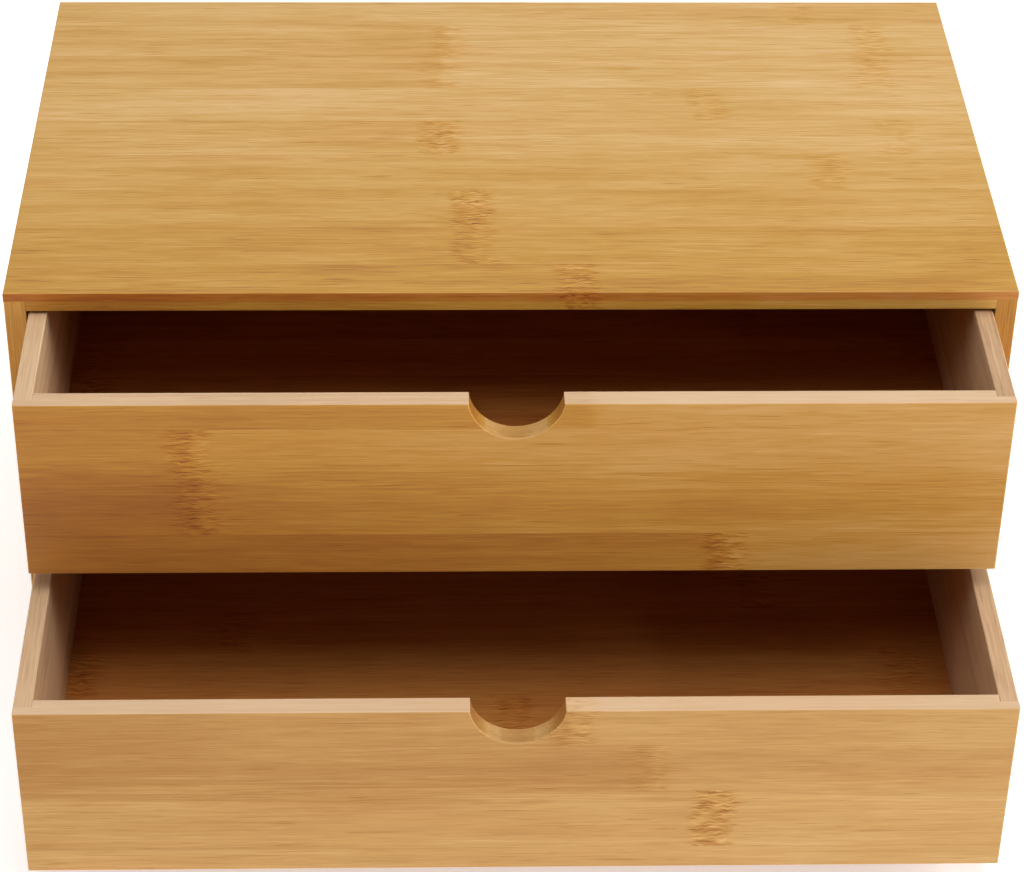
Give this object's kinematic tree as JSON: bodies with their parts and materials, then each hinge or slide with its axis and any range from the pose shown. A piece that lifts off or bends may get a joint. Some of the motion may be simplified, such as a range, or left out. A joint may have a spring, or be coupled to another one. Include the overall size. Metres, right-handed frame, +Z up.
{
  "type": "desk organizer",
  "caption": "Low wooden desk organizer: a flat-topped board case with stacked pull-out drawers, each with a half-round finger notch in its front.",
  "frame": {"origin": "on the desk surface, under the middle of the footprint with the drawers drawn out as in the rest pose; the case's own centre is 55 mm behind it", "axes": "+X to the right as seen from the drawer fronts, +Y from the fronts to the back, +Z up"},
  "size_m": [0.33, 0.308, 0.1596],
  "materials": {
    "case_bamboo": "satin",
    "drawer_bamboo": "satin",
    "pad_rubber": "matte"
  },
  "bodies": {
    "case": {"top_panel": "case_bamboo", "bottom_panel": "case_bamboo", "left_side_panel": "case_bamboo", "right_side_panel": "case_bamboo", "middle_shelf": "case_bamboo", "back_panel": "case_bamboo", "foot_pad_front_left": "pad_rubber", "foot_pad_back_left": "pad_rubber", "foot_pad_front_right": "pad_rubber", "foot_pad_back_right": "pad_rubber"},
    "upper_drawer": {"upper_drawer_front": "drawer_bamboo", "upper_drawer_left_side": "drawer_bamboo", "upper_drawer_right_side": "drawer_bamboo", "upper_drawer_back": "drawer_bamboo", "upper_drawer_floor": "drawer_bamboo"},
    "lower_drawer": {"lower_drawer_front": "drawer_bamboo", "lower_drawer_left_side": "drawer_bamboo", "lower_drawer_right_side": "drawer_bamboo", "lower_drawer_back": "drawer_bamboo", "lower_drawer_floor": "drawer_bamboo"}
  },
  "joints": [
    {"name": "upper_drawer_slide", "type": "slide", "parent": "case", "child": "upper_drawer", "axis": [0, -1, 0], "range_m": [-0.051, 0.099]},
    {"name": "lower_drawer_slide", "type": "slide", "parent": "case", "child": "lower_drawer", "axis": [0, -1, 0], "range_m": [-0.11, 0.04]}
  ]
}
